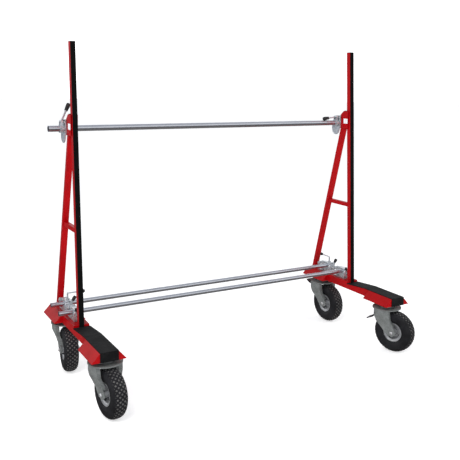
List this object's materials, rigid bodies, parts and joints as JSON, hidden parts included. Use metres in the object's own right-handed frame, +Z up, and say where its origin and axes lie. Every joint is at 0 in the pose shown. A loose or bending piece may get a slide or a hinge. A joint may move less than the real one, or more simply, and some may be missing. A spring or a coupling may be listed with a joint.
{
  "type": "panel transport trolley",
  "caption": "Adjustable-width panel trolley: leaning side frames on pneumatic swivel castors, joined by round tubes held in lever clamps.",
  "frame": {"origin": "on the floor, below the middle of the whole trolley's outline", "axes": "+X along the round tubes from the left to the right side frame, +Y from the loading side to the rear, +Z up"},
  "size_m": [2.089, 1.0172, 1.892],
  "materials": {
    "red_paint": "gloss powder coat",
    "black_rubber": "matt",
    "white_label": "plain white film",
    "black_plastic": "moulded",
    "clamp_zinc": "bright zinc plating",
    "bolt_zinc": "bright zinc plating",
    "fork_zinc": "dull zinc plating",
    "rim_zinc": "bright zinc plating",
    "tyre_rubber": "moulded rubber",
    "pedal_black": "black enamel",
    "galvanised_tube": "galvanised"
  },
  "bodies": {
    "left_frame": {"left_base_beam": "red_paint", "left_castor_housings": "red_paint", "left_upright": "red_paint", "left_upright_strip": "black_rubber", "left_brace": "red_paint", "left_cross_tie": "red_paint", "left_gussets": "red_paint", "left_blank_label": "white_label", "left_load_pads": "black_rubber", "left_end_caps": "black_plastic", "left_clamp_bases": "clamp_zinc", "left_clamp_caps": "clamp_zinc", "left_frame_bolts": "bolt_zinc", "left_front_swivel_plate": "fork_zinc", "left_rear_swivel_plate": "fork_zinc"},
    "right_frame": {"right_base_beam": "red_paint", "right_castor_housings": "red_paint", "right_upright": "red_paint", "right_upright_strip": "black_rubber", "right_brace": "red_paint", "right_cross_tie": "red_paint", "right_gussets": "red_paint", "right_blank_label": "white_label", "right_load_pads": "black_rubber", "right_end_caps": "black_plastic", "right_clamp_bases": "clamp_zinc", "right_clamp_caps": "clamp_zinc", "right_frame_bolts": "bolt_zinc", "right_front_swivel_plate": "fork_zinc", "right_rear_swivel_plate": "fork_zinc"},
    "upper_tube_bar": {"upper_tube": "galvanised_tube"},
    "lower_rear_tube_bar": {"lower_rear_tube": "galvanised_tube"},
    "lower_front_tube_bar": {"lower_front_tube": "galvanised_tube"},
    "left_upper_lever_arm": {"left_upper_lever": "clamp_zinc"},
    "left_lower_rear_lever_arm": {"left_lower_rear_lever": "clamp_zinc"},
    "left_lower_front_lever_arm": {"left_lower_front_lever": "clamp_zinc"},
    "left_screw_handle_crank": {"left_screw_handle": "clamp_zinc"},
    "left_front_swivel": {"left_front_fork": "fork_zinc", "left_front_axle": "bolt_zinc"},
    "left_front_wheel": {"left_front_rim": "rim_zinc", "left_front_tyre": "tyre_rubber"},
    "left_rear_swivel": {"left_rear_fork": "fork_zinc", "left_rear_axle": "bolt_zinc"},
    "left_rear_wheel": {"left_rear_rim": "rim_zinc", "left_rear_tyre": "tyre_rubber"},
    "right_upper_lever_arm": {"right_upper_lever": "clamp_zinc"},
    "right_lower_rear_lever_arm": {"right_lower_rear_lever": "clamp_zinc"},
    "right_lower_front_lever_arm": {"right_lower_front_lever": "clamp_zinc"},
    "right_screw_handle_crank": {"right_screw_handle": "clamp_zinc"},
    "right_front_swivel": {"right_front_fork": "fork_zinc", "right_front_axle": "bolt_zinc"},
    "right_front_wheel": {"right_front_rim": "rim_zinc", "right_front_tyre": "tyre_rubber"},
    "right_front_pedal": {"right_front_brake_pedal": "pedal_black"},
    "right_rear_swivel": {"right_rear_fork": "fork_zinc", "right_rear_axle": "bolt_zinc"},
    "right_rear_wheel": {"right_rear_rim": "rim_zinc", "right_rear_tyre": "tyre_rubber"},
    "right_rear_pedal": {"right_rear_brake_pedal": "pedal_black"}
  },
  "joints": [
    {"name": "right_frame_slide", "type": "slide", "parent": "left_frame", "child": "right_frame", "axis": [1, 0, 0], "range_m": [-1.2, 0.015]},
    {"name": "upper_tube_slide", "type": "slide", "parent": "left_frame", "child": "upper_tube_bar", "axis": [1, 0, 0], "range_m": [-0.015, 0.07]},
    {"name": "lower_rear_tube_slide", "type": "slide", "parent": "left_frame", "child": "lower_rear_tube_bar", "axis": [1, 0, 0], "range_m": [-0.015, 0.07]},
    {"name": "lower_front_tube_slide", "type": "slide", "parent": "left_frame", "child": "lower_front_tube_bar", "axis": [1, 0, 0], "range_m": [-0.015, 0.07]},
    {"name": "left_upper_lever_hinge", "type": "hinge", "parent": "left_frame", "child": "left_upper_lever_arm", "pos_m": [-0.9715, 0.2346, 1.458], "axis": [0, 1, 0], "range_deg": [-120, 0]},
    {"name": "left_lower_rear_lever_hinge", "type": "hinge", "parent": "left_frame", "child": "left_lower_rear_lever_arm", "pos_m": [-0.9365, 0.2791, 0.388], "axis": [0, 1, 0], "range_deg": [-100, 40]},
    {"name": "left_lower_front_lever_hinge", "type": "hinge", "parent": "left_frame", "child": "left_lower_front_lever_arm", "pos_m": [-0.9365, 0.1081, 0.388], "axis": [0, 1, 0], "range_deg": [-60, 60]},
    {"name": "left_screw_handle_turn", "type": "hinge", "parent": "left_frame", "child": "left_screw_handle_crank", "pos_m": [-0.9315, 0.3156, 0.459], "axis": [0, 0, 1], "range_deg": [-180, 180]},
    {"name": "left_front_swivel_turn", "type": "hinge", "parent": "left_frame", "child": "left_front_swivel", "pos_m": [-0.9255, -0.3194, 0.278], "axis": [0, 0, 1], "continuous": true},
    {"name": "left_front_wheel_spin", "type": "hinge", "parent": "left_front_swivel", "child": "left_front_wheel", "pos_m": [-0.91832, -0.37897, 0.13], "axis": [0.9928, 0.1197, 0], "continuous": true},
    {"name": "left_rear_swivel_turn", "type": "hinge", "parent": "left_frame", "child": "left_rear_swivel", "pos_m": [-0.9255, 0.3626, 0.278], "axis": [0, 0, 1], "continuous": true},
    {"name": "left_rear_wheel_spin", "type": "hinge", "parent": "left_rear_swivel", "child": "left_rear_wheel", "pos_m": [-0.93268, 0.30303, 0.13], "axis": [0.9928, -0.1197, 0], "continuous": true},
    {"name": "right_upper_lever_hinge", "type": "hinge", "parent": "right_frame", "child": "right_upper_lever_arm", "pos_m": [0.9125, 0.2346, 1.458], "axis": [0, 1, 0], "range_deg": [0, 120]},
    {"name": "right_lower_rear_lever_hinge", "type": "hinge", "parent": "right_frame", "child": "right_lower_rear_lever_arm", "pos_m": [0.9475, 0.2791, 0.388], "axis": [0, 1, 0], "range_deg": [-100, 40]},
    {"name": "right_lower_front_lever_hinge", "type": "hinge", "parent": "right_frame", "child": "right_lower_front_lever_arm", "pos_m": [0.9475, 0.1081, 0.388], "axis": [0, 1, 0], "range_deg": [-60, 60]},
    {"name": "right_screw_handle_turn", "type": "hinge", "parent": "right_frame", "child": "right_screw_handle_crank", "pos_m": [0.9525, 0.3156, 0.459], "axis": [0, 0, 1], "range_deg": [-180, 180]},
    {"name": "right_front_swivel_turn", "type": "hinge", "parent": "right_frame", "child": "right_front_swivel", "pos_m": [0.9385, -0.3194, 0.278], "axis": [0, 0, 1], "continuous": true},
    {"name": "right_front_wheel_spin", "type": "hinge", "parent": "right_front_swivel", "child": "right_front_wheel", "pos_m": [0.96225, -0.3745, 0.13], "axis": [0.9183, 0.3959, 0], "continuous": true},
    {"name": "right_front_pedal_hinge", "type": "hinge", "parent": "right_front_swivel", "child": "right_front_pedal", "pos_m": [0.91792, -0.27165, 0.245], "axis": [0.9183, 0.3959, 0], "range_deg": [0, 48]},
    {"name": "right_rear_swivel_turn", "type": "hinge", "parent": "right_frame", "child": "right_rear_swivel", "pos_m": [0.9385, 0.3626, 0.278], "axis": [0, 0, 1], "continuous": true},
    {"name": "right_rear_wheel_spin", "type": "hinge", "parent": "right_rear_swivel", "child": "right_rear_wheel", "pos_m": [0.9427, 0.30275, 0.13], "axis": [0.9976, 0.0699, 0], "continuous": true},
    {"name": "right_rear_pedal_hinge", "type": "hinge", "parent": "right_rear_swivel", "child": "right_rear_pedal", "pos_m": [0.93486, 0.41447, 0.245], "axis": [0.9976, 0.0699, 0], "range_deg": [-48, 0]}
  ]
}
